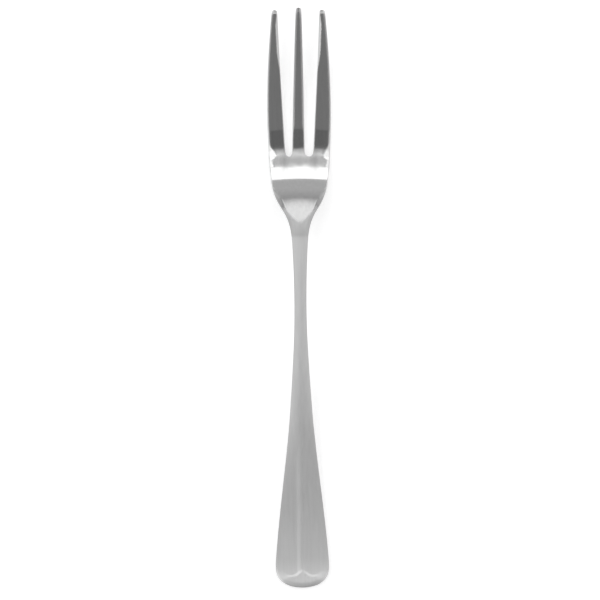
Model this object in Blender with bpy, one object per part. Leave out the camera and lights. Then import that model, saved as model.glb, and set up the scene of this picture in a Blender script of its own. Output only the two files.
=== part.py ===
"""Salad fork: one stamped steel blank, modelled as its eight working zones.

X runs across the fork, Y along it towards the tips, and Z up. The fork lies
face up on Z = 0, on the flats under its tine roots and under its handle end.
"""
import bisect
import math

import bmesh
import bpy
from mathutils import Vector

MM = 0.001

# Lengths of the zones, from the handle's end to the tips
END_LENGTH = 12.0 * MM
HANDLE_LENGTH = 46.0 * MM
STEM_LENGTH = 46.0 * MM
NECK_LENGTH = 18.0 * MM
PALM_LENGTH = 13.5 * MM
TINE_LENGTH = 44.5 * MM
SEAM = 0.3 * MM

# Widths across the blank
HANDLE_WIDTH = 16.66 * MM
HANDLE_TOP_WIDTH = 15.96 * MM
STEM_TOP_WIDTH = 6.46 * MM
WAIST_WIDTH = 3.76 * MM
NECK_WIDTH = 4.52 * MM
SHOULDER_WIDTH = 10.8 * MM
CORNER_WIDTH = 17.68 * MM
HEAD_WIDTH = 19.9 * MM

# Where those widths lie, from the start of their zone
END_WIDEST_IN = 6.0 * MM
WAIST_IN = 29.5 * MM
SHOULDER_IN = 13.5 * MM
CORNER_IN = 4.4 * MM
HEAD_WIDEST_IN = 12.5 * MM

# How fast the edge runs outwards there, in width for each unit of length
HANDLE_FLARE = -0.085
STEM_FLARE = -0.065
NECK_FLARE = 0.05
SHOULDER_FLARE = 0.66
CORNER_FLARE = 0.10
TIP_FLARE = -0.1

# Tines and slots
CENTRE_ROOT_WIDTH = 3.94 * MM
CENTRE_TIP_WIDTH = 1.74 * MM
SLOT_ROOT_WIDTH = 2.35 * MM
SLOT_TIP_WIDTH = 5.8 * MM
SIDE_TIP_WIDTH = 1.5 * MM
SIDE_TIP_SETBACK = 0.7 * MM
SLOT_DEPTH_IN_PALM = 1.8 * MM
TIP_ROUNDING = 0.7 * MM
CENTRE_ROOT_FLARE = -0.0175
CENTRE_TIP_FLARE = -0.036
INNER_ROOT_FLARE = 0.06
INNER_TIP_FLARE = 0.042

# Side profile: flats on the table, the arch over the neck and the lifted tips
END_FLAT_LENGTH = 9.0 * MM
ROOT_FLAT_IN = 1.0 * MM
ROOT_FLAT_LENGTH = 6.0 * MM
ARCH_IN = 5.5 * MM
ARCH_HEIGHT = 11.6 * MM
TIP_HEIGHT = 8.0 * MM
TIP_SLOPE = 0.37

# Thickness of the rolled metal
HANDLE_THICKNESS = 2.1 * MM
WAIST_THICKNESS = 3.0 * MM
ARCH_THICKNESS = 2.9 * MM
SHOULDER_THICKNESS = 2.35 * MM
HEAD_THICKNESS = 1.9 * MM
TIP_THICKNESS = 1.1 * MM
EVEN_HANDLE_LENGTH = 28.0 * MM

# Coined rib along the handle, and the raised border that closes it at the end
RIB_HEIGHT = 0.3 * MM
RIB_CREST = 0.5 * MM
RIB_FOOT = 1.3 * MM
RIB_FADE_LENGTH = 30.0 * MM
BORDER_WIDTH = 3.0 * MM
BORDER_RAMP = 2.5 * MM

# Domed section of the stem and neck: share of the thickness lost at the edge
STEM_DOME = 0.35
WAIST_DOME = 0.5

EDGE_RADIUS = 0.35 * MM
END_SQUARENESS = 2.2
ROW_PITCH = 2.4 * MM
FINE_PITCH = 1.6 * MM
OUTER_COLUMNS = 2
END_OUTER_COLUMNS = 4
TINE_COLUMNS = 4
ARC_STEPS = 12

POLISHED_ROUGHNESS = 0.12
SATIN_ROUGHNESS = 0.3
STEEL = (0.6, 0.6, 0.6, 1.0)

# Places along the fork, measured from the handle's end
AT_HANDLE = END_LENGTH
AT_STEM = AT_HANDLE + HANDLE_LENGTH
AT_NECK = AT_STEM + STEM_LENGTH
AT_PALM = AT_NECK + NECK_LENGTH
AT_TINES = AT_PALM + PALM_LENGTH
LENGTH = AT_TINES + TINE_LENGTH
AT_WAIST = AT_STEM + WAIST_IN
AT_ARCH = AT_NECK + ARCH_IN
AT_SHOULDER = AT_NECK + SHOULDER_IN
AT_CORNER = AT_PALM + CORNER_IN
AT_HEAD_WIDEST = AT_TINES + HEAD_WIDEST_IN
AT_ROOT_FLAT = AT_TINES + ROOT_FLAT_IN
AT_LIFT = AT_ROOT_FLAT + ROOT_FLAT_LENGTH

INNER_ROOT = CENTRE_ROOT_WIDTH / 2 + SLOT_ROOT_WIDTH
INNER_TIP = CENTRE_TIP_WIDTH / 2 + SLOT_TIP_WIDTH

# Each station is a place along the fork, the value there and its slope
OUTER_EDGE = [
    (END_WIDEST_IN, HANDLE_WIDTH / 2, 0.0),
    (AT_HANDLE, HANDLE_TOP_WIDTH / 2, HANDLE_FLARE),
    (AT_STEM, STEM_TOP_WIDTH / 2, STEM_FLARE),
    (AT_WAIST, WAIST_WIDTH / 2, 0.0),
    (AT_NECK, NECK_WIDTH / 2, NECK_FLARE),
    (AT_SHOULDER, SHOULDER_WIDTH / 2, SHOULDER_FLARE),
    (AT_CORNER, CORNER_WIDTH / 2, CORNER_FLARE),
    (AT_HEAD_WIDEST, HEAD_WIDTH / 2, 0.0),
    (LENGTH, INNER_TIP + SIDE_TIP_WIDTH, TIP_FLARE),
]
CENTRE_EDGE = [
    (AT_TINES, CENTRE_ROOT_WIDTH / 2, CENTRE_ROOT_FLARE),
    (LENGTH, CENTRE_TIP_WIDTH / 2, CENTRE_TIP_FLARE),
]
INNER_EDGE = [
    (AT_TINES, INNER_ROOT, INNER_ROOT_FLARE),
    (LENGTH, INNER_TIP, INNER_TIP_FLARE),
]
MIDDLE_HEIGHT = [
    (0.0, HANDLE_THICKNESS / 2, 0.0),
    (END_FLAT_LENGTH, HANDLE_THICKNESS / 2, 0.0),
    (AT_ARCH, ARCH_HEIGHT, 0.0),
    (AT_ROOT_FLAT, HEAD_THICKNESS / 2, 0.0),
    (AT_LIFT, HEAD_THICKNESS / 2, 0.0),
    (LENGTH, TIP_HEIGHT, TIP_SLOPE),
]
THICKNESS = [
    (0.0, HANDLE_THICKNESS, 0.0),
    (AT_HANDLE + EVEN_HANDLE_LENGTH, HANDLE_THICKNESS, 0.0),
    (AT_WAIST, WAIST_THICKNESS, 0.0),
    (AT_ARCH, ARCH_THICKNESS, 0.0),
    (AT_PALM, SHOULDER_THICKNESS, 0.0),
    (AT_ROOT_FLAT, HEAD_THICKNESS, 0.0),
    (AT_LIFT, HEAD_THICKNESS, 0.0),
    (LENGTH, TIP_THICKNESS, 0.0),
]
DOME = [
    (AT_HANDLE, 0.0, 0.0),
    (AT_STEM, STEM_DOME, 0.0),
    (AT_WAIST, WAIST_DOME, 0.0),
    (AT_ARCH, WAIST_DOME, 0.0),
    (AT_CORNER, 0.0, 0.0),
]
RIB = [
    (AT_STEM - RIB_FADE_LENGTH, 1.0, 0.0),
    (AT_STEM, 0.0, 0.0),
]
BORDER = [
    (BORDER_WIDTH, 1.0, 0.0),
    (BORDER_WIDTH + BORDER_RAMP, 0.0, 0.0),
]


def along(stations, place):
    """Value and slope of the smooth curve through the stations, level beyond its ends."""
    first, last = stations[0], stations[-1]
    if place <= first[0]:
        return first[1], 0.0
    if place >= last[0]:
        return last[1], last[2]
    index = bisect.bisect_left([station[0] for station in stations], place)
    start, value, slope = stations[index - 1]
    end, next_value, next_slope = stations[index]
    span = end - start
    t = (place - start) / span
    rise = next_value - value
    height = (value + t * span * slope
              + t * t * (3 * rise - span * (2 * slope + next_slope))
              + t ** 3 * (span * (slope + next_slope) - 2 * rise))
    tilt = (slope
            + 2 * t * (3 * rise / span - 2 * slope - next_slope)
            + 3 * t * t * (slope + next_slope - 2 * rise / span))
    return height, tilt


def edge(stations, place):
    return along(stations, place)[0]


def surface_height(across, place, share, side):
    """Height of the upper (side 1) or lower (side -1) face; share is 1 at the blank's edge."""
    middle, slope = along(MIDDLE_HEIGHT, place)
    half = edge(THICKNESS, place) / 2 * math.hypot(1.0, slope)
    half *= 1.0 - edge(DOME, place) * share ** 4
    if side < 0:
        return middle - half
    rib = edge(RIB, place) * max(0.0, min(1.0, (RIB_FOOT - abs(across)) / (RIB_FOOT - RIB_CREST)))
    border = edge(BORDER, place) * (1.0 - share ** 4)
    return middle + half + RIB_HEIGHT * max(rib, border)


def rows_between(stops, pitch):
    """Places of the cross rows: every stop, and even steps of about one pitch between stops."""
    places = [stops[0]]
    for start, end in zip(stops, stops[1:]):
        steps = max(1, round((end - start) / pitch))
        places += [start + (end - start) * (step + 1) / steps for step in range(steps)]
    return places


def column_line(position, half, shares):
    """Signed distance from the centre line: the rib's lines, then shares of the flank beside it."""
    lines = [0.0, RIB_CREST, RIB_FOOT]
    lines += [RIB_FOOT + (half - RIB_FOOT) * share for share in shares]
    return math.copysign(lines[round(abs(position) * (len(lines) - 1))], position)


def column_count(outer):
    """Columns across the whole width, with two for each half of the rib."""
    return 2 * (2 + outer)


def split_box(columns, rows):
    """A box from -1 to 1, split into columns across X and rows along Y."""
    box = bmesh.new()
    bmesh.ops.create_cube(box, size=2.0)
    for axis, pieces in ((1, rows), (0, columns)):
        lines = [line for line in box.edges
                 if abs(line.verts[0].co[axis] - line.verts[1].co[axis]) > 1.0]
        bmesh.ops.subdivide_edges(box, edges=lines, cuts=pieces - 1, use_grid_fill=True)
    return box


def is_rim(line, rounded_end):
    """True for a long upper or lower edge, and for those of the rounded end at Y = rounded_end."""
    first, second = (vert.co for vert in line.verts)
    level = abs(first.z - second.z) < 0.5
    beside = min(abs(first.x), abs(second.x)) > 0.999
    ahead = min(first.y * rounded_end, second.y * rounded_end) > 0.999
    return level and (beside or ahead)


def make_material(name, roughness):
    material = bpy.data.materials.new(name)
    material.use_nodes = True
    shader = material.node_tree.nodes["Principled BSDF"]
    shader.inputs["Base Color"].default_value = STEEL
    shader.inputs["Metallic"].default_value = 1.0
    shader.inputs["Roughness"].default_value = roughness
    return material


def make_zone(name, places, columns, placing, roughness, rounded_end=0):
    """One zone of the blank: a split box whose points are moved into place, with rounded rims."""
    rows = len(places) - 1
    box = split_box(columns, rows)
    rims = [line for line in box.edges if is_rim(line, rounded_end)]
    origin = Vector((0.0, places[0] - LENGTH / 2, 0.0))
    for vert in box.verts:
        place = places[round((vert.co.y + 1.0) / 2 * rows)]
        across, place, share = placing(vert.co.x, place)
        height = surface_height(across, place, share, vert.co.z)
        vert.co = Vector((across, place - LENGTH / 2, height)) - origin
    box.normal_update()
    bmesh.ops.bevel(box, geom=rims, offset=EDGE_RADIUS, segments=2, profile=0.5,
                    affect="EDGES", clamp_overlap=True)
    mesh = bpy.data.meshes.new(name)
    box.to_mesh(mesh)
    box.free()
    mesh.materials.append(make_material(name + "_steel", roughness))
    zone = bpy.data.objects.new(name, mesh)
    zone.location = origin
    zone.parent = fork
    parts.objects.link(zone)
    return zone


def place_body(position, place):
    half = edge(OUTER_EDGE, place)
    shares = [(step + 1) / OUTER_COLUMNS for step in range(OUTER_COLUMNS)]
    across = column_line(position, half, shares)
    return across, place, abs(across) / half


def place_end(position, place):
    """The rounded end: its rows start on the end's curve and straighten towards the handle."""
    reach = END_LENGTH - SEAM / 2
    half = edge(OUTER_EDGE, END_WIDEST_IN + (reach - END_WIDEST_IN) * place / reach)
    steps = [(step + 1) / END_OUTER_COLUMNS for step in range(END_OUTER_COLUMNS)]
    across = column_line(position, half, [math.sin(step * math.pi / 2) for step in steps])
    share = abs(across) / half
    curve = END_WIDEST_IN * (1.0 - max(0.0, 1.0 - share ** END_SQUARENESS) ** (1 / END_SQUARENESS))
    return across, curve + (reach - curve) * place / reach, share


def tine_placing(left_edge, right_edge, tip):
    """Placing of a tine between two edges given as a side and its stations."""
    def placing(position, place):
        round_off = TIP_ROUNDING * (1.0 - math.sqrt(1.0 - position * position))
        place -= round_off * max(0.0, (place - AT_LIFT) / (tip - AT_LIFT))
        left = left_edge[0] * edge(left_edge[1], place)
        right = right_edge[0] * edge(right_edge[1], place)
        return left + (right - left) * (position + 1.0) / 2, place, 0.0
    return placing


def make_slot_cutter(name, side):
    """A prism with a round end, as wide as the slot at the tine roots."""
    radius = SLOT_ROOT_WIDTH / 2
    centre = side * (CENTRE_ROOT_WIDTH / 2 + radius)
    bottom = AT_TINES - SLOT_DEPTH_IN_PALM - LENGTH / 2
    mouth = AT_TINES - LENGTH / 2 + SEAM
    outline = [(centre + radius, mouth), (centre - radius, mouth)]
    for step in range(ARC_STEPS + 1):
        angle = math.pi * (1.0 + step / ARC_STEPS)
        outline.append((centre + radius * math.cos(angle), bottom + radius * (1.0 + math.sin(angle))))
    curve = bpy.data.curves.new(name, "CURVE")
    curve.dimensions = "2D"
    curve.fill_mode = "BOTH"
    curve.extrude = ARCH_HEIGHT
    spline = curve.splines.new("POLY")
    spline.points.add(len(outline) - 1)
    for point, (x, y) in zip(spline.points, outline):
        point.co = (x, y, 0.0, 1.0)
    spline.use_cyclic_u = True
    flat = bpy.data.objects.new(name + "_outline", curve)
    cutters.objects.link(flat)
    depsgraph = bpy.context.evaluated_depsgraph_get()
    mesh = bpy.data.meshes.new_from_object(flat.evaluated_get(depsgraph))
    welded = bmesh.new()
    welded.from_mesh(mesh)
    bmesh.ops.remove_doubles(welded, verts=welded.verts, dist=0.001 * MM)
    bmesh.ops.recalc_face_normals(welded, faces=welded.faces)
    welded.to_mesh(mesh)
    welded.free()
    cutter = bpy.data.objects.new(name, mesh)
    cutter.matrix_world = flat.matrix_world
    cutter.hide_render = True
    cutter.display_type = "WIRE"
    cutters.objects.link(cutter)
    bpy.data.objects.remove(flat)
    return cutter


for old in list(bpy.data.objects):
    bpy.data.objects.remove(old)

parts = bpy.data.collections.new("salad_fork")
cutters = bpy.data.collections.new("slot_cutters")
bpy.context.scene.collection.children.link(parts)
bpy.context.scene.collection.children.link(cutters)
fork = bpy.data.objects.new("fork_frame", None)
parts.objects.link(fork)

# Handle, from its end to the arch
half_seam = SEAM / 2
body_columns = column_count(OUTER_COLUMNS)
border_end = BORDER_WIDTH + BORDER_RAMP
end_places = rows_between([0.0, BORDER_WIDTH, border_end, END_FLAT_LENGTH, AT_HANDLE - half_seam],
                          FINE_PITCH)
make_zone("handle_end", end_places, column_count(END_OUTER_COLUMNS), place_end,
          SATIN_ROUGHNESS, rounded_end=-1)
handle_places = rows_between([AT_HANDLE + half_seam, AT_STEM - half_seam], ROW_PITCH)
make_zone("handle", handle_places, body_columns, place_body, SATIN_ROUGHNESS)
stem_places = rows_between([AT_STEM + half_seam, AT_NECK - half_seam], ROW_PITCH)
make_zone("stem", stem_places, body_columns, place_body, SATIN_ROUGHNESS)
neck_places = rows_between([AT_NECK + half_seam, AT_PALM - half_seam], FINE_PITCH)
make_zone("neck", neck_places, body_columns, place_body, SATIN_ROUGHNESS)

# Palm, cut by the round slot bottoms
palm_places = rows_between([AT_PALM + half_seam, AT_TINES - half_seam], FINE_PITCH)
palm = make_zone("palm", palm_places, body_columns, place_body, POLISHED_ROUGHNESS)
for slot_name, slot_side in (("slot_cutter_left", -1), ("slot_cutter_right", 1)):
    cut = palm.modifiers.new(slot_name, "BOOLEAN")
    cut.operation = "DIFFERENCE"
    cut.object = make_slot_cutter(slot_name, slot_side)

# Tines
side_tip = LENGTH - SIDE_TIP_SETBACK
for tine_name, left_edge, right_edge, tip in (
    ("tine_left", (-1, OUTER_EDGE), (-1, INNER_EDGE), side_tip),
    ("tine_centre", (-1, CENTRE_EDGE), (1, CENTRE_EDGE), LENGTH),
    ("tine_right", (1, INNER_EDGE), (1, OUTER_EDGE), side_tip),
):
    tine_places = rows_between([AT_TINES + half_seam, AT_ROOT_FLAT, AT_LIFT, tip], ROW_PITCH)
    make_zone(tine_name, tine_places, TINE_COLUMNS, tine_placing(left_edge, right_edge, tip),
              POLISHED_ROUGHNESS, rounded_end=1)
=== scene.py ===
import math
import bpy
import bmesh
from mathutils import Matrix, Vector


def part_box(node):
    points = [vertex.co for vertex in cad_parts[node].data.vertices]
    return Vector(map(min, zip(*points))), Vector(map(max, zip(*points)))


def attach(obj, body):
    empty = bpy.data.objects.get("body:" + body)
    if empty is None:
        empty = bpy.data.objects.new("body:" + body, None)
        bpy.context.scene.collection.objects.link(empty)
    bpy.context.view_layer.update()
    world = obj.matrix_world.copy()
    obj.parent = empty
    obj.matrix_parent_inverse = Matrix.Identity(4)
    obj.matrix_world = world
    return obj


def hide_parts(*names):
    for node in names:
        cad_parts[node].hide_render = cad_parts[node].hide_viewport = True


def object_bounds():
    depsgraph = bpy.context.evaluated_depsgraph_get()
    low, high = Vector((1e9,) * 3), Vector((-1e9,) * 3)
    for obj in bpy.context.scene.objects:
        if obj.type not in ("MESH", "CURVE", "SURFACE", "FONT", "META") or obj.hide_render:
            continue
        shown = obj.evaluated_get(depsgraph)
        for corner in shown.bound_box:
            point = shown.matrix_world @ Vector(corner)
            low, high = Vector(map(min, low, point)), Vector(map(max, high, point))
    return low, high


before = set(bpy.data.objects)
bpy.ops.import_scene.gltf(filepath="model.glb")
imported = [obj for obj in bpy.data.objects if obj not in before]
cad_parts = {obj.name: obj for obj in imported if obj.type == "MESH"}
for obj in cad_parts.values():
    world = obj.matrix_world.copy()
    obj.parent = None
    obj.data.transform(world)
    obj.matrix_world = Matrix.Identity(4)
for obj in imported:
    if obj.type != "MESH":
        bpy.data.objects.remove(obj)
cadLow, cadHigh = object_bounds()
mm = 0.001
print("frame loaded:", len(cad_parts), "nodes")


# The fork is drawn in millimetres. A place is the distance from the end of the handle.
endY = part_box("handle_end")[0].y


def placeOf(y):
    return (y - endY) / mm


def seamBetween(lower, upper):
    return placeOf((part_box(lower)[1].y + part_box(upper)[0].y) / 2)


def smoothStep(low, high, value):
    share = min(1.0, max(0.0, (value - low) / (high - low)))
    return share * share * (3.0 - 2.0 * share)


def blend(first, second, share):
    return first + (second - first) * share


# value and slope at a place, on a smooth curve through (place, value, slope) stations
def alongCurve(stations, place):
    if place <= stations[0][0]:
        return stations[0][1], 0.0
    if place >= stations[-1][0]:
        return stations[-1][1], 0.0
    for before, after in zip(stations, stations[1:]):
        if place <= after[0]:
            break
    span = after[0] - before[0]
    t = (place - before[0]) / span
    rise = after[1] - before[1]
    leave = before[2] * span
    arrive = after[2] * span
    square = 3.0 * rise - 2.0 * leave - arrive
    cube = leave + arrive - 2.0 * rise
    value = before[1] + t * (leave + t * (square + t * cube))
    slope = (leave + t * (2.0 * square + t * 3.0 * cube)) / span
    return value, slope


# the flat blank: its outline and the rows and columns of its cage
forkBlank = {
    "endWidestAt": 6.0,
    "endSquareness": 2.2,
    "handleTop": (7.98, -0.085),
    "stemTop": (3.23, -0.065),
    "waistAt": 87.5,
    "waist": 1.88,
    "neck": (2.26, 0.05),
    "shoulderAt": 117.5,
    "shoulder": (5.4, 0.66),
    "cornerAt": 126.4,
    "corner": (8.84, 0.10),
    "headWidestAt": 148.0,
    "sideTip": (8.17, -0.1),
    "centreRoot": (1.97, -0.0175),
    "centreTip": (0.87, -0.036),
    "innerRoot": (4.32, 0.06),
    "innerTip": (6.5, 0.030),
    "slotInPalm": 1.25,
    "cageHalfThickness": 1.0,
    "rimRounding": 0.36,
    "rimGrowth": 0.002,
    "rimColumn": 0.62,
    "tipCornerBack": 0.3,
    "tipCornerIn": 0.95,
    "tipReach": 0.15,
    "rimMost": 0.34,
    "endBlend": 0.45,
    "columns": 14,
    "rows": (22, 15, 16, 14, 13, 28),
    "lastRow": 0.45,
    "slotColumns": ((2, 6), (8, 12)),
    "slotEaseRows": 7.0,
    "slotEasePower": 1.5,
    "sideTineLine": 5,
    "flatNormal": 0.7,
    "subdivisions": 2,
}
columns = forkBlank["columns"]
middleLine = columns // 2

atHandle = seamBetween("handle_end", "handle")
atStem = seamBetween("handle", "stem")
atNeck = seamBetween("stem", "neck")
atPalm = seamBetween("neck", "palm")
atTines = seamBetween("palm", "tine_centre")
atCentreTip = placeOf(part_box("tine_centre")[1].y)
atSideTip = placeOf(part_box("tine_left")[1].y)
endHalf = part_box("handle_end")[1].x / mm
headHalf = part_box("tine_right")[1].x / mm

outerEdge = (
    (forkBlank["endWidestAt"], endHalf, 0.0),
    (atHandle,) + forkBlank["handleTop"],
    (atStem,) + forkBlank["stemTop"],
    (forkBlank["waistAt"], forkBlank["waist"], 0.0),
    (atNeck,) + forkBlank["neck"],
    (forkBlank["shoulderAt"],) + forkBlank["shoulder"],
    (forkBlank["cornerAt"],) + forkBlank["corner"],
    (forkBlank["headWidestAt"], headHalf, 0.0),
    (atCentreTip,) + forkBlank["sideTip"],
)
centreEdge = ((atTines,) + forkBlank["centreRoot"], (atCentreTip,) + forkBlank["centreTip"])
innerEdge = ((atTines,) + forkBlank["innerRoot"], (atCentreTip,) + forkBlank["innerTip"])
slotRadius = (forkBlank["innerRoot"][0] - forkBlank["centreRoot"][0]) / 2
slotMiddle = (forkBlank["innerRoot"][0] + forkBlank["centreRoot"][0]) / 2
slotTop = atTines - forkBlank["slotInPalm"] + slotRadius
zoneEnds = (0.0, atHandle, atStem, atNeck, atPalm, slotTop, atCentreTip)
slotRow = sum(forkBlank["rows"][:5])
rowTotal = sum(forkBlank["rows"])


def halfWidth(place):
    return alongCurve(outerEdge, place)[0] + forkBlank["rimGrowth"]


def endCurve(share):
    power = forkBlank["endSquareness"]
    return forkBlank["endWidestAt"] * (1.0 - (1.0 - min(1.0, share) ** power) ** (1.0 / power))


# distance of a column line from the axis, where the blank is not slotted
def bodyLine(line, place):
    half = halfWidth(place)
    rim = min(forkBlank["rimColumn"], half * forkBlank["rimMost"])
    if line == middleLine:
        return half
    return (half - rim) * line / (middleLine - 1)


def slotLine(line):
    diagonal = slotRadius * math.sqrt(0.5)
    outer = halfWidth(slotTop)
    centre = forkBlank["centreRoot"][0] + forkBlank["rimGrowth"]
    inner = forkBlank["innerRoot"][0] - forkBlank["rimGrowth"]
    across = (0.0, centre, slotMiddle - diagonal, slotMiddle, slotMiddle + diagonal,
              inner, (inner + outer) / 2, outer)
    down = (0.0, 0.0, diagonal, slotRadius, diagonal, 0.0, 0.0, 0.0)
    return across[line], down[line]


def endPoint(line, share):
    arc = math.sin(math.pi / 2 * line / middleLine)
    start = endCurve(arc) - forkBlank["rimGrowth"] * (1.0 - arc)
    place = blend(start, atHandle, share)
    across = arc * (endHalf + forkBlank["rimGrowth"])
    across = blend(across, bodyLine(line, place), smoothStep(0.0, forkBlank["endBlend"], share))
    return across, place


def tinePoint(line, share):
    sideTine = line >= forkBlank["sideTineLine"]
    tip = atSideTip if sideTine else atCentreTip
    rows = forkBlank["rows"][5]
    place = blend(slotTop, tip - forkBlank["lastRow"], min(1.0, share * rows / (rows - 1)))
    if share == 1.0:
        place = tip
    grow = forkBlank["rimGrowth"]
    if sideTine:
        low = alongCurve(innerEdge, place)[0] - grow
        high = halfWidth(place)
        middle = (low + high) / 2
        across = (low, middle, high)[line - forkBlank["sideTineLine"]]
        onRim = across != middle
    else:
        high = alongCurve(centreEdge, place)[0] + grow
        across = high * line
        middle = 0.0
        onRim = line == 1
    if share == 1.0:
        if onRim:
            across = blend(middle, across, forkBlank["tipCornerIn"])
            place -= forkBlank["tipCornerBack"]
        else:
            place += forkBlank["tipReach"]
    return across, place


def cagePoint(column, row):
    line = abs(column - middleLine)
    side = -1.0 if column < middleLine else 1.0
    rows = forkBlank["rows"]
    if row > slotRow:
        across, place = tinePoint(line, (row - slotRow) / rows[5])
    elif row < rows[0]:
        across, place = endPoint(line, row / rows[0])
    else:
        zone = 0
        first = 0
        while row > first + rows[zone]:
            first += rows[zone]
            zone += 1
        place = blend(zoneEnds[zone], zoneEnds[zone + 1], (row - first) / rows[zone])
        near = max(0.0, 1.0 - (slotRow - row) / forkBlank["slotEaseRows"])
        across = blend(bodyLine(line, place), slotLine(line)[0], smoothStep(0.0, 1.0, near))
        place -= slotLine(line)[1] * near ** forkBlank["slotEasePower"]
    return Vector((side * across, place, 0.0))


def makeBlank():
    bm = bmesh.new()
    bmesh.ops.create_grid(bm, x_segments=columns, y_segments=rowTotal, size=1.0)
    slots = []
    for face in bm.faces:
        centre = face.calc_center_median()
        column = int((centre.x + 1.0) / 2.0 * columns)
        row = int((centre.y + 1.0) / 2.0 * rowTotal)
        if row >= slotRow and any(low <= column < high for low, high in forkBlank["slotColumns"]):
            slots.append(face)
    bmesh.ops.delete(bm, geom=slots, context="FACES")
    for vert in bm.verts:
        column = round((vert.co.x + 1.0) / 2.0 * columns)
        row = round((vert.co.y + 1.0) / 2.0 * rowTotal)
        vert.co = cagePoint(column, row)
    bm.normal_update()
    half = forkBlank["cageHalfThickness"]
    lower = list(bm.faces)
    bmesh.ops.translate(bm, vec=(0.0, 0.0, -half), verts=bm.verts)
    raised = bmesh.ops.extrude_face_region(bm, geom=lower, use_keep_orig=True)
    upperVerts = [item for item in raised["geom"] if isinstance(item, bmesh.types.BMVert)]
    bmesh.ops.translate(bm, vec=(0.0, 0.0, 2.0 * half), verts=upperVerts)
    bmesh.ops.recalc_face_normals(bm, faces=bm.faces)
    bm.normal_update()
    rims = []
    for edge in bm.edges:
        flatFaces = [face for face in edge.link_faces if abs(face.normal.z) > forkBlank["flatNormal"]]
        if len(edge.link_faces) == 2 and len(flatFaces) == 1:
            rims.append(edge)
    bmesh.ops.bevel(bm, geom=rims, offset=forkBlank["rimRounding"], offset_type="OFFSET",
                    segments=2, profile=0.5, affect="EDGES", clamp_overlap=True, material=-1)
    bmesh.ops.recalc_face_normals(bm, faces=bm.faces)
    return bm


def smoothed(bm, levels):
    mesh = bpy.data.meshes.new("forkCage")
    bm.to_mesh(mesh)
    bm.free()
    cage = bpy.data.objects.new("forkCage", mesh)
    bpy.context.scene.collection.objects.link(cage)
    rounding = cage.modifiers.new("rounding", "SUBSURF")
    rounding.levels = levels
    rounding.render_levels = levels
    done = bpy.data.meshes.new_from_object(cage.evaluated_get(bpy.context.evaluated_depsgraph_get()))
    bpy.data.objects.remove(cage)
    bpy.data.meshes.remove(mesh)
    finished = bmesh.new()
    finished.from_mesh(done)
    bpy.data.meshes.remove(done)
    return finished


# rolling to thickness, coining the handle and bending to the side profile
press = {
    "topSlopes": (
        (0.0, 0.0), (9.0, 0.0), (30.0, 0.125), (59.0, 0.165), (85.0, 0.125), (100.0, 0.055),
        (107.5, 0.012), (109.0, 0.08), (110.0, 0.0), (111.2, -0.08), (113.4, -0.332), (118.0, -0.46),
        (120.95, -0.56), (121.8, -0.72), (123.4, -0.77), (125.2, -0.70), (126.7, -0.556),
        (130.8, -0.333), (136.5, -0.045), (137.3, -0.004), (142.2, 0.004), (143.2, 0.05), (180.0, 0.33),
    ),
    "archAt": 110.0,
    "flatAt": 138.0,
    "bendStep": 0.05,
    "spareSteps": 20,
    "clear": 0.004,
    "handleThickness": 2.1,
    "evenTo": 40.0,
    "waistThickness": 3.0,
    "archThickness": 2.9,
    "shoulderThickness": 2.35,
    "headThickness": 1.9,
    "headEvenFrom": 136.5,
    "headEvenTo": 142.5,
    "tipThickness": 1.1,
    "bow": ((112.0, 0.0), (117.0, 1.0), (121.5, 1.5), (126.2, 0.55), (127.6, 0.55), (130.4, 0.2),
            (132.5, 0.2), (136.0, 0.6), (139.0, 0.6), (143.0, 0.7), (180.0, 0.7)),
    "stemDome": 0.34,
    "waistDome": 0.42,
    "domeFullTo": 103.0,
    "domeGoneAt": 118.0,
    "ribHeight": 0.115,
    "ribCrest": 0.2,
    "ribFoot": 2.0,
    "ribFullTo": 28.0,
    "ribGoneAt": 58.0,
    "ribEndFade": 1.6,
    "borderHeight": 0.245,
    "borderAt": 3.69,
    "borderLift": 2.2,
    "borderReach": 3.3,
    "borderRamp": 0.75,
    "borderGapFrom": 0.1,
    "borderGapTo": 1.05,
    "borderGapEase": 2.5,
    "borderFadeFrom": 4.0,
    "borderFadeTo": 6.6,
    "borderFadeSpread": 3.0,
    "swellFrom": 13.0,
    "swellRate": 0.004,
    "endRoundWidth": 1.9,
    "endRoundDrop": 0.5,
    "endCornerEase": 0.45,
    "endCornerFrom": 3.5,
    "endCornerTo": 6.0,
    "shoulderWidth": ((107.0, 1.2), (116.0, 1.25), (118.0, 1.55), (120.2, 1.85), (125.2, 0.0)),
    "shoulderSlope": ((107.0, 0.0), (111.5, 0.3), (114.0, 0.56), (116.0, 0.50), (117.4, 0.44),
                      (118.6, 0.50), (119.8, 0.62), (125.5, 0.64)),
    "shoulderSoft": 0.3,
    "buffWidth": ((128.4, 0.9), (130.4, 1.8), (131.0, 1.75), (131.9, 1.2), (132.7, 1.2), (133.5, 1.7),
                  (134.4, 2.9), (135.9, 2.0), (137.0, 0.95), (138.6, 0.3)),
    "buffSlope": ((128.4, 0.0), (130.8, 0.22), (138.6, 0.22)),
    "buffSoft": 0.45,
    "leastWidth": 0.01,
    "facetWidth": 0.98,
    "facetSoft": 0.3,
    "leftFacetSlope": 0.19,
    "rightFacetSlope": 0.14,
    "facetFrom": 159.5,
    "facetFull": 167.0,
    "facetFadeFrom": 174.0,
    "facetFadeTo": 180.0,
    "facetRim": 1.2,
    "tipFacet": 1.7,
    "tipFacetSlope": 0.56,
    "centreTipSlope": 0.33,
    "outerRim": 1.1,
    "slotRim": 0.5,
    "centreRimFrom": 141.5,
    "centreRimTo": 144.5,
    "leanFrom": 6.0,
    "leanAtRoot": -0.28,
    "leanAtTip": 0.08,
}
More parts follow.
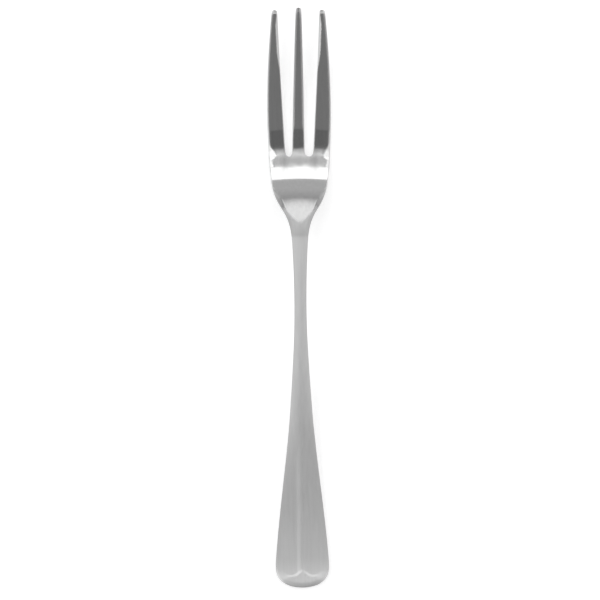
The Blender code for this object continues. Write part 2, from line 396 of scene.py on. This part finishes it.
thickness = (
    (0.0, press["handleThickness"], 0.0),
    (press["evenTo"], press["handleThickness"], 0.0),
    (forkBlank["waistAt"], press["waistThickness"], 0.0),
    (press["archAt"], press["archThickness"], 0.0),
    (atPalm, press["shoulderThickness"], 0.0),
    (press["headEvenFrom"], press["headThickness"], 0.0),
    (press["headEvenTo"], press["headThickness"], 0.0),
    (atCentreTip, press["tipThickness"], 0.0),
)
dome = (
    (atHandle, 0.0, 0.0),
    (atStem, press["stemDome"], 0.0),
    (forkBlank["waistAt"], press["waistDome"], 0.0),
    (press["domeFullTo"], press["waistDome"], 0.0),
    (press["domeGoneAt"], 0.0, 0.0),
)


# stations with slopes of their own, so that the curve never swings past them
def easedStations(points):
    steps = [(b[1] - a[1]) / (b[0] - a[0]) for a, b in zip(points, points[1:])]
    slopes = [0.0]
    for before, after in zip(steps, steps[1:]):
        same = before * after
        slopes.append(2.0 * same / (before + after) if same > 0.0 else 0.0)
    slopes.append(steps[-1])
    return tuple((place, value, slope) for (place, value), slope in zip(points, slopes))


# heights of the upper face, summed from its slopes: up to the arch, down to the tine roots
def bentProfile():
    slopes = easedStations(press["topSlopes"])
    step = press["bendStep"]
    count = int(atCentreTip / step) + press["spareSteps"]
    raw = [alongCurve(slopes, (index + 0.5) * step)[0] for index in range(count)]
    arch = int(press["archAt"] / step)
    flat = int(press["flatAt"] / step)
    archTop = cadHigh.z / mm - 2.0 * press["clear"]
    archRise = archTop - press["handleThickness"]
    archDrop = archTop - press["headThickness"]
    upScale = archRise / (sum(raw[:arch]) * step)
    downScale = -archDrop / (sum(raw[arch:flat]) * step)
    print("bend scales", round(upScale, 3), round(downScale, 3))
    heights = [press["handleThickness"] + press["clear"]]
    for index, slope in enumerate(raw):
        scale = upScale if index < arch else downScale if index < flat else 1.0
        heights.append(heights[-1] + slope * scale * step)
    return heights


profile = bentProfile()
buffWidths = easedStations(press["buffWidth"])
shoulderWidths = easedStations(press["shoulderWidth"])
buffSlopes = easedStations(press["buffSlope"])
shoulderSlopes = easedStations(press["shoulderSlope"])
bows = easedStations(press["bow"])
margins = (
    (buffWidths, buffSlopes, press["buffSoft"]),
    (shoulderWidths, shoulderSlopes, press["shoulderSoft"]),
)


def topAt(place):
    step = press["bendStep"]
    index = max(place / step, 0.0)
    low = min(int(index), len(profile) - 2)
    slope = (profile[low + 1] - profile[low]) / step
    return profile[low] + slope * (index - low) * step, slope


# soft shoulder that falls away from a line: 0 up to the line, then down at the given slope
def fallAway(past, softness, slope):
    if past <= 0.0:
        return 0.0
    if past < softness:
        return slope * past * past / (2.0 * softness)
    return slope * (past - softness / 2.0)


def coinedHeight(across, place):
    side = abs(across)
    fade = 1.0 - smoothStep(press["ribFullTo"], press["ribGoneAt"], place)
    fade *= smoothStep(press["borderAt"], press["borderAt"] + press["ribEndFade"], place)
    rib = press["ribHeight"] * fade * (1.0 - smoothStep(press["ribCrest"], press["ribFoot"], side))
    inward = max(0.0, 1.0 - side / press["borderReach"])
    ramp = press["borderAt"] + press["borderLift"] * inward ** 2
    width = press["borderRamp"]
    width += press["borderFadeSpread"] * smoothStep(press["borderFadeFrom"], press["borderFadeTo"], side)
    foot = ramp + width / 2
    gap = 1.0 - smoothStep(press["borderGapFrom"], press["borderGapTo"], side)
    border = 1.0 - smoothStep(foot - width * (1.0 + press["borderGapEase"] * gap), foot, place)
    swell = press["swellRate"] * max(0.0, press["swellFrom"] - place) ** 2
    return rib + press["borderHeight"] * border + swell


# 1 along the ground inner edges of the side tines
def onFacet(place):
    fade = 1.0 - smoothStep(press["facetFadeFrom"], press["facetFadeTo"], place)
    return fade * smoothStep(press["facetFrom"], press["facetFull"], place)


# rounding of the handle's end and of the outer edge of the head, and the ground inner tine edges
def buffedDepth(across, place):
    side = abs(across)
    half = halfWidth(max(place, forkBlank["endWidestAt"]))
    depth = 0.0
    if place < atHandle:
        edge = endCurve(side / endHalf)
        width = press["endRoundWidth"]
        corner = smoothStep(press["endCornerFrom"], press["endCornerTo"], side)
        drop = press["endRoundDrop"] * (1.0 - press["endCornerEase"] * corner)
        depth += drop * max(0.0, 1.0 - (place - edge) / width) ** 2
    for widths, slopes, soft in margins:
        width = alongCurve(widths, place)[0]
        if width > press["leastWidth"]:
            depth += fallAway(side - (half - width), width * soft, alongCurve(slopes, place)[0])
    tipSlope = press["tipFacetSlope"] if side > slotMiddle else press["centreTipSlope"]
    depth += fallAway(place - (atSideTip - press["tipFacet"]), press["tipFacet"] / 2, tipSlope)
    if place > press["facetFrom"] and side > slotMiddle:
        inner = alongCurve(innerEdge, place)[0]
        width = press["facetWidth"] * onFacet(place)
        if width > press["leastWidth"]:
            slope = press["leftFacetSlope"] if across < 0.0 else press["rightFacetSlope"]
            depth += fallAway(inner + width - side, width * press["facetSoft"], slope)
    return depth


# 1 on a cut edge, fading to 0 a little way in: wider from the outer edges than from the slots
def rimShare(across, place):
    side = abs(across)
    outside = halfWidth(place) - side
    if place < atHandle:
        outside = min(outside, place - endCurve(side / endHalf))
    clear = smoothStep(0.0, press["outerRim"], outside)
    slotRim = press["slotRim"]
    if place < slotTop:
        slot = math.hypot(side - slotMiddle, place - slotTop) - slotRadius
    elif side > slotMiddle:
        slot = side - alongCurve(innerEdge, place)[0]
        slotRim = blend(slotRim, press["facetRim"], onFacet(place))
    else:
        slot = alongCurve(centreEdge, place)[0] - side
        onTine = smoothStep(press["centreRimFrom"], press["centreRimTo"], place)
        slotRim = blend(slotRim, press["outerRim"], onTine)
        clear = 1.0
    return 1.0 - min(clear, smoothStep(0.0, slotRim, slot))


# the centre tine stands a little to the left at its root
def centreLean(across, place):
    lean = blend(press["leanAtRoot"], press["leanAtTip"], (place - atTines) / (atCentreTip - atTines))
    lean *= smoothStep(atTines - press["leanFrom"], atTines, place)
    return lean * (1.0 - smoothStep(forkBlank["centreRoot"][0], forkBlank["innerRoot"][0], abs(across)))


def pressToShape(bm):
    half = forkBlank["cageHalfThickness"]
    rim = bm.verts.layers.float.new("rim")
    for vert in bm.verts:
        across, place, flat = vert.co
        vert[rim] = rimShare(across, place)
        lift = flat / half
        bow = alongCurve(bows, place)[0]
        top, slope = topAt(place + bow * (across / headHalf) ** 2)
        reach = alongCurve(thickness, place)[0] / 2 * math.hypot(1.0, slope)
        share = min(1.0, abs(across) / halfWidth(max(place, forkBlank["endWidestAt"])))
        crowned = 1.0 - alongCurve(dome, place)[0] * share ** 2
        z = top - reach + lift * reach * crowned
        if lift > 0.0:
            z += lift * (coinedHeight(across, place) - buffedDepth(across, place))
        vert.co.z = z
        vert.co.x += centreLean(across, place)


def finishPiece(bm, name):
    bmesh.ops.scale(bm, vec=(mm, mm, mm), verts=bm.verts)
    bmesh.ops.translate(bm, vec=(0.0, endY, 0.0), verts=bm.verts)
    bmesh.ops.recalc_face_normals(bm, faces=bm.faces)
    for face in bm.faces:
        face.smooth = True
    mesh = bpy.data.meshes.new(name)
    bm.to_mesh(mesh)
    bm.free()
    piece = bpy.data.objects.new(name, mesh)
    bpy.context.scene.collection.objects.link(piece)
    return piece


bm = smoothed(makeBlank(), forkBlank["subdivisions"])
pressToShape(bm)
forkSkin = finishPiece(bm, "fork_skin")
print("fork pressed:", len(forkSkin.data.polygons), "faces")


# shader maths: a Wire is a socket that takes part in sums, a Bench adds the nodes
class Wire:
    def __init__(self, bench, socket):
        self.bench = bench
        self.socket = socket

    def sum(self, operation, first, second):
        return self.bench.node("ShaderNodeMath", {"operation": operation}, {0: first, 1: second})

    def __add__(self, other):
        return self.sum("ADD", self, other)

    def __radd__(self, other):
        return self.sum("ADD", other, self)

    def __sub__(self, other):
        return self.sum("SUBTRACT", self, other)

    def __rsub__(self, other):
        return self.sum("SUBTRACT", other, self)

    def __mul__(self, other):
        return self.sum("MULTIPLY", self, other)

    def __rmul__(self, other):
        return self.sum("MULTIPLY", other, self)

    def __abs__(self):
        return self.bench.node("ShaderNodeMath", {"operation": "ABSOLUTE"}, {0: self})


class Bench:
    def __init__(self, tree):
        self.tree = tree
        tree.nodes.clear()

    def node(self, kind, settings=None, sockets=None, out=0):
        made = self.tree.nodes.new(kind)
        for name, value in (settings or {}).items():
            setattr(made, name, value)
        for name, value in (sockets or {}).items():
            if isinstance(value, Wire):
                self.tree.links.new(value.socket, made.inputs[name])
            else:
                made.inputs[name].default_value = value
        return Wire(self, made.outputs[out]) if len(made.outputs) else None

    def axis(self, place, number):
        return self.node("ShaderNodeSeparateXYZ", None, {0: place}, out=number)

    def step(self, value, low, high, start=0.0, end=1.0):
        settings = {"interpolation_type": "SMOOTHSTEP"}
        return self.node("ShaderNodeMapRange", settings,
                         {"Value": value, 1: low, 2: high, 3: start, 4: end})

    # 1 from full to fade, 0 before start and after end
    def band(self, value, start, full, fade, end):
        return self.step(value, start, full) - self.step(value, fade, end)

    def noise(self, place, scale, detail):
        spread = self.node("ShaderNodeMapping", None, {"Vector": place, "Scale": scale})
        return self.node("ShaderNodeTexNoise", None, {"Vector": spread, "Scale": 1.0, "Detail": detail})


# steel: mirror polished head that ends in a tongue on the neck, satin from there to the end; its grey
# has painted shade on the tongue and neck and painted light on the stem and end
steel = {
    # the head and satin tones are the steel's own grey; the tongue and neck tones are painted shade, the
    # stem and end tones painted light
    "headTone": 0.68,
    "tongueShadedTone": 0.47,
    "neckShadedTone": 0.538,
    "stemLitTone": 0.634,
    "satinTone": 0.564,
    "endLitTone": 0.662,
    "headRoughness": 0.08,
    "palmRoughness": 0.17,
    "tongueRoughness": 0.20,
    "rimRoughness": 0.42,
    "stemRoughness": 0.62,
    "satinRoughness": 0.47,
    "endRoughness": 0.43,
    "tongueTip": 0.0231,
    "tongueFlare": 0.55,
    "tongueCurve": 140.0,
    "tongueEdge": 0.0007,
    "tongueFadeTo": 0.0250,
    "tongueFadeFrom": 0.0280,
    "edgeFrom": 0.6,
    "rimFrom": 0.0452,
    "rimTo": 0.0475,
    "toneFrom": 0.0345,
    "toneTo": 0.0300,
    "dullFrom": 0.0352,
    "dullTo": 0.0305,
    "palmFrom": 0.0390,
    "palmTo": 0.0480,
    "palmFade": 0.0025,
    "neckFrom": 0.0198,
    "stemEnd": 0.0185,
    "stemTo": -0.012,
    "stemFrom": -0.045,
    "endFrom": -0.0800,
    "endTo": -0.0870,
    # painted shade: two darker streaks on the palm, standing in for darker reflections there
    "shadeStreakSide": 0.00465,
    "shadeStreakWidth": 0.0020,
    "shadeStreakFrom": 0.0374,
    "shadeStreakTo": 0.0474,
    "shadeStreakRise": 0.0036,
    "shadeStreakFade": 0.0018,
    "shadeStreakTone": -0.12,
    "brushGrain": ((6000.0, 90.0, 6000.0), 2.0),
    "brushDepth": 0.004,
    "brushTone": 0.03,
    "brushRoughness": 0.08,
    "polishRoughness": 0.02,
    "streakGrain": ((1300.0, 60.0, 1300.0), 2.0),
    "streakTone": 0.08,
    "cloudGrain": ((90.0, 90.0, 90.0), 3.0),
    "cloudTone": 0.03,
    "cloudRoughness": 0.03,
    "waveGrain": ((330.0, 330.0, 330.0), 1.0),
    "waveDepth": 0.004,
    "palmWaveGrain": ((330.0, 300.0, 300.0), 0.5),
    "palmWaveDepth": 0.07,
}


def steelMaterial():
    material = bpy.data.materials.new("stainless steel")
    material.use_nodes = True
    bench = Bench(material.node_tree)
    place = bench.node("ShaderNodeTexCoord", out="Object")
    y = bench.axis(place, 1)
    side = abs(bench.axis(place, 0))

    # where each finish lies
    tongue = y - (side * steel["tongueFlare"] + side * side * steel["tongueCurve"])
    satin = bench.step(tongue, steel["tongueTip"] - steel["tongueEdge"],
                       steel["tongueTip"] + steel["tongueEdge"], 1.0, 0.0)
    satin = satin * bench.step(y, steel["tongueFadeTo"], steel["tongueFadeFrom"], 1.0, 0.0)
    rim = bench.node("ShaderNodeAttribute", {"attribute_name": "rim"}, out="Fac")
    edge = bench.step(rim, steel["edgeFrom"], 1.0)
    rim = edge + (rim - edge) * bench.step(y, steel["rimFrom"], steel["rimTo"])
    belowHead = bench.step(y, steel["toneTo"], steel["toneFrom"], 1.0, 0.0)
    onPalm = bench.band(y, steel["palmFrom"], steel["palmFrom"] + steel["palmFade"],
                        steel["palmTo"] - steel["palmFade"], steel["palmTo"])
    onHandle = bench.step(y, steel["stemEnd"], steel["neckFrom"], 1.0, 0.0)
    onStem = bench.step(y, steel["stemFrom"], steel["stemTo"])
    atEnd = bench.step(y, steel["endTo"], steel["endFrom"], 1.0, 0.0)
    # painted shade: two darker streaks on the palm, either side of the centre, standing in for darker
    # reflections there
    paintedShadeStreak = bench.band(side, steel["shadeStreakSide"] - steel["shadeStreakWidth"], steel["shadeStreakSide"],
                        steel["shadeStreakSide"], steel["shadeStreakSide"] + steel["shadeStreakWidth"])
    paintedShadeStreak = paintedShadeStreak * bench.band(y, steel["shadeStreakFrom"], steel["shadeStreakFrom"] + steel["shadeStreakRise"],
                                 steel["shadeStreakTo"] - steel["shadeStreakFade"], steel["shadeStreakTo"])

    # a grain is a scale and a detail: brushing and streaks run along the fork, the rest all ways
    brush = bench.noise(place, *steel["brushGrain"])
    streak = bench.noise(place, *steel["streakGrain"])
    cloud = bench.noise(place, *steel["cloudGrain"])
    wave = bench.noise(place, *steel["waveGrain"])
    palmWave = bench.noise(place, *steel["palmWaveGrain"])

    polished = bench.step(y, steel["dullTo"], steel["dullFrom"],
                          steel["tongueRoughness"], steel["headRoughness"])
    polished = polished + rim * (steel["rimRoughness"] - steel["headRoughness"])
    polished = polished + onPalm * (1.0 - rim) * (steel["palmRoughness"] - steel["headRoughness"])
    brushed = (steel["satinRoughness"] + onStem * (steel["stemRoughness"] - steel["satinRoughness"])
               + atEnd * (steel["endRoughness"] - steel["satinRoughness"]))
    roughness = (polished + satin * (brushed - polished)
                 + (brush - 0.5) * (satin * steel["brushRoughness"] + steel["polishRoughness"])
                 + (cloud - 0.5) * steel["cloudRoughness"])

    # the steel's own grey, with painted shade on the tongue and neck and painted light on the stem and
    # end, set zone by zone to the brightness of the reflections there
    tone = (steel["headTone"] + belowHead * (steel["tongueShadedTone"] - steel["headTone"])
            + belowHead * satin * (steel["neckShadedTone"] - steel["tongueShadedTone"])
            + onHandle * (steel["satinTone"] - steel["neckShadedTone"])
            + atEnd * (steel["endLitTone"] - steel["satinTone"])
            + onStem * onHandle * (steel["stemLitTone"] - steel["satinTone"]))
    tone = (tone + (cloud - 0.5) * steel["cloudTone"] + (brush - 0.5) * steel["brushTone"]
            + (streak - 0.5) * steel["streakTone"] + paintedShadeStreak * steel["shadeStreakTone"])
    colour = bench.node("ShaderNodeCombineColor", None, {0: tone, 1: tone, 2: tone})

    relief = brush * satin * steel["brushDepth"] + wave * steel["waveDepth"]
    relief = relief + (palmWave - 0.5) * onPalm * steel["palmWaveDepth"]
    bump = bench.node("ShaderNodeBump", None, {"Height": relief, "Strength": 1.0, "Distance": mm})
    shader = bench.node("ShaderNodeBsdfPrincipled", None, {
        "Base Color": colour, "Metallic": 1.0, "Roughness": roughness, "Normal": bump})
    bench.node("ShaderNodeOutputMaterial", None, {"Surface": shader})
    return material


forkSkin.data.materials.append(steelMaterial())
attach(forkSkin, "root")
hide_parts("tine_left", "tine_centre", "tine_right", "palm", "neck", "stem",
            "handle", "handle_end")
print("steel on")


# table: white to the camera and in the steel, and it keeps the fork's shadow
table = {
    "size": 8.0,
    "drop": 0.0001,
    "colour": 0.8,
    "glow": 0.45,
}


def makeTable():
    bm = bmesh.new()
    bmesh.ops.create_grid(bm, x_segments=4, y_segments=4, size=table["size"] / 2)
    bmesh.ops.translate(bm, vec=(0.0, 0.0, cadLow.z - table["drop"]), verts=bm.verts)
    mesh = bpy.data.meshes.new("table")
    bm.to_mesh(mesh)
    bm.free()
    floor = bpy.data.objects.new("table", mesh)
    bpy.context.scene.collection.objects.link(floor)
    material = bpy.data.materials.new("white table")
    material.use_nodes = True
    bench = Bench(material.node_tree)
    camera = bench.node("ShaderNodeLightPath", out="Is Camera Ray")
    glossy = bench.node("ShaderNodeLightPath", out="Is Glossy Ray")
    clear = bench.node("ShaderNodeLightPath", out="Is Transmission Ray")
    seen = bench.node("ShaderNodeMath", {"operation": "ADD", "use_clamp": True},
                      {0: camera + glossy, 1: clear})
    grey = (table["colour"], table["colour"], table["colour"], 1.0)
    matte = bench.node("ShaderNodeBsdfDiffuse", None, {"Color": grey})
    white = bench.node("ShaderNodeEmission", None, {"Strength": seen * table["glow"]})
    both = bench.node("ShaderNodeAddShader", None, {0: matte, 1: white})
    bench.node("ShaderNodeOutputMaterial", None, {"Surface": both})
    mesh.materials.append(material)


makeTable()
print("table set")


# room, in directions: dim towards the handle, paler beyond the tines and at both sides up to the
# dimmer walls, with a pale horizon, and white to the camera
room = {
    "dark": 0.225,
    "darkest": 0.154,
    "pale": 0.605,
    "beyond": 0.54,
    "stripe": 0.40,
    "horizon": 0.75,
    "darkestFrom": -0.012,
    "darkestSoft": 0.01,
    "paleFrom": 0.078,
    "paleFull": 0.137,
    "paleSideFrom": 0.05,
    "paleSideFull": 0.20,
    "paleSpread": 0.26,
    "wallFrom": 0.48,
    "wallFull": 0.64,
    "wallLow": 0.28,
    "wallHigh": 0.45,
    "wallDim": 0.8,
    "stripeAt": 0.292,
    "stripeWidth": 0.14,
    "stripeReach": 0.3,
    "stripeFade": 0.1,
    "beyondFrom": 0.85,
    "beyondFull": 0.90,
    "horizonLow": 0.15,
    "horizonHigh": 0.45,
    "horizonNear": (-0.6, -0.3),
    "horizonFar": (0.3, 0.6),
    "horizonTurn": 0.75,
}
lamps = {
    "back": {"tilt": 49.3, "turn": 0.0, "distance": 1.2, "width": 1.2, "depth": 0.42,
             "shift": 0.0, "glow": 1.05},
    "left": {"tilt": 36.0, "turn": 90.0, "distance": 1.1, "width": 1.95, "depth": 0.95,
             "shift": -0.22, "glow": 0.96},
    "right": {"tilt": 41.0, "turn": -90.0, "distance": 1.1, "width": 1.95, "depth": 0.95,
              "shift": -0.22, "glow": 0.72},
}


def makeRoom():
    world = bpy.data.worlds.new("studio")
    bpy.context.scene.world = world
    world.use_nodes = True
    bench = Bench(world.node_tree)
    towards = bench.node("ShaderNodeTexCoord", out="Generated")
    y = bench.axis(towards, 1)
    z = bench.axis(towards, 2)
    side = abs(bench.axis(towards, 0))
    glow = room["dark"] + bench.step(y, room["darkestFrom"] - room["darkestSoft"],
                                     room["darkestFrom"] + room["darkestSoft"],
                                     0.0, room["darkest"] - room["dark"])
    reach = y + bench.step(side, room["paleSideFrom"], room["paleSideFull"]) * room["paleSpread"]
    walls = bench.step(side, room["wallFrom"], room["wallFull"], 0.0, room["wallDim"])
    walls = walls * bench.step(z, room["wallLow"], room["wallHigh"])
    glow = glow + (1.0 - walls) * bench.step(reach, room["paleFrom"], room["paleFull"],
                                             0.0, room["pale"] - room["darkest"])
    stripe = bench.band(y, room["stripeAt"] - room["stripeWidth"], room["stripeAt"],
                        room["stripeAt"], room["stripeAt"] + room["stripeWidth"])
    stripe = stripe * bench.step(side, room["stripeReach"], room["stripeReach"] + room["stripeFade"],
                                 1.0, 0.0)
    glow = glow + stripe * room["stripe"]
    glow = glow + bench.step(y, room["beyondFrom"], room["beyondFull"],
                             0.0, room["beyond"] - room["pale"])
    low = bench.step(z, room["horizonLow"], room["horizonHigh"], 1.0, 0.0)
    low = low * bench.step(y - side * room["horizonTurn"], *room["horizonFar"], 1.0, 0.0)
    low = low * bench.step(y, *room["horizonNear"])
    glow = glow + low * (room["horizon"] - glow)
    camera = bench.node("ShaderNodeLightPath", out="Is Camera Ray")
    strength = glow + camera * (1.0 - glow)
    white = (1.0, 1.0, 1.0, 1.0)
    shade = bench.node("ShaderNodeBackground", None, {"Color": white, "Strength": strength})
    bench.node("ShaderNodeOutputWorld", None, {"Surface": shade})


def makeLamp(name):
    lamp = lamps[name]
    light = bpy.data.lights.new(name + " softbox", "AREA")
    light.shape = "RECTANGLE"
    light.size = lamp["width"]
    light.size_y = lamp["depth"]
    light.energy = lamp["glow"] * math.pi * lamp["width"] * lamp["depth"]
    holder = bpy.data.objects.new(name + " softbox", light)
    bpy.context.scene.collection.objects.link(holder)
    tilt = math.radians(lamp["tilt"])
    turn = math.radians(lamp["turn"])
    holder.matrix_world = (Matrix.Translation((0.0, lamp["shift"], 0.0)) @ Matrix.Rotation(turn, 4, "Z")
                           @ Matrix.Rotation(-tilt, 4, "X")
                           @ Matrix.Translation((0.0, 0.0, lamp["distance"])))
    holder.visible_camera = False


makeRoom()
for lampName in lamps:
    makeLamp(lampName)
print("studio lit")


# camera straight above, turned a little to the fork's lean in the picture
shot = {
    "lens": 200.0,
    "sensor": 36.0,
    "pictureWidth": 187.2,
    "centreX": -0.13,
    "centreY": -0.44,
    "lean": 0.43,
    "nearest": 0.01,
    "farthest": 50.0,
}


def makeCamera():
    camera = bpy.data.cameras.new("camera")
    camera.lens = shot["lens"]
    camera.sensor_width = shot["sensor"]
    camera.clip_start = shot["nearest"]
    camera.clip_end = shot["farthest"]
    holder = bpy.data.objects.new("camera", camera)
    bpy.context.scene.collection.objects.link(holder)
    height = shot["pictureWidth"] * mm * shot["lens"] / shot["sensor"]
    holder.matrix_world = (Matrix.Translation((shot["centreX"] * mm, shot["centreY"] * mm, height))
                           @ Matrix.Rotation(math.radians(-shot["lean"]), 4, "Z"))
    bpy.context.scene.camera = holder


makeCamera()
bpy.context.scene.view_settings.view_transform = "Standard"
print("camera set")
